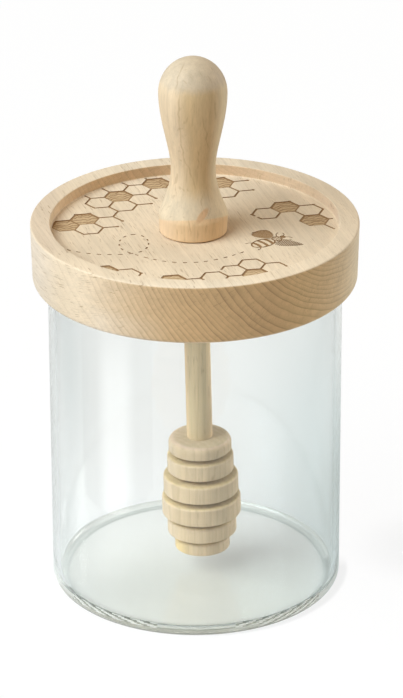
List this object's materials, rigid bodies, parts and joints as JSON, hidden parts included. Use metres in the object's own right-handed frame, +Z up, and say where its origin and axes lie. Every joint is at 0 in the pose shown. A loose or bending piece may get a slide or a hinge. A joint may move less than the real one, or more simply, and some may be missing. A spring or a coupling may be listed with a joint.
{
  "type": "honey dipper jar",
  "caption": "Empty clear glass cylinder jar with a flat base, capped by a thick beech disc lid with a turned knob, and a grooved wooden honey dipper hanging inside.",
  "frame": {"origin": "middle of the jar's base, on the surface it stands on", "axes": "+Z up along the jar's axis, -Y towards the side that the picture shows"},
  "size_m": [0.1, 0.1, 0.1723],
  "materials": {
    "clear_glass": "clear, smooth, faint grey-green tint",
    "lid_beech": "pale unvarnished beech, fine sanded",
    "knob_beech": "turned beech, fine sanded",
    "dipper_beech": "turned beech, matt"
  },
  "bodies": {
    "root": {"jar": "clear_glass", "lid": "lid_beech", "knob": "knob_beech", "dipper": "dipper_beech"}
  },
  "joints": []
}
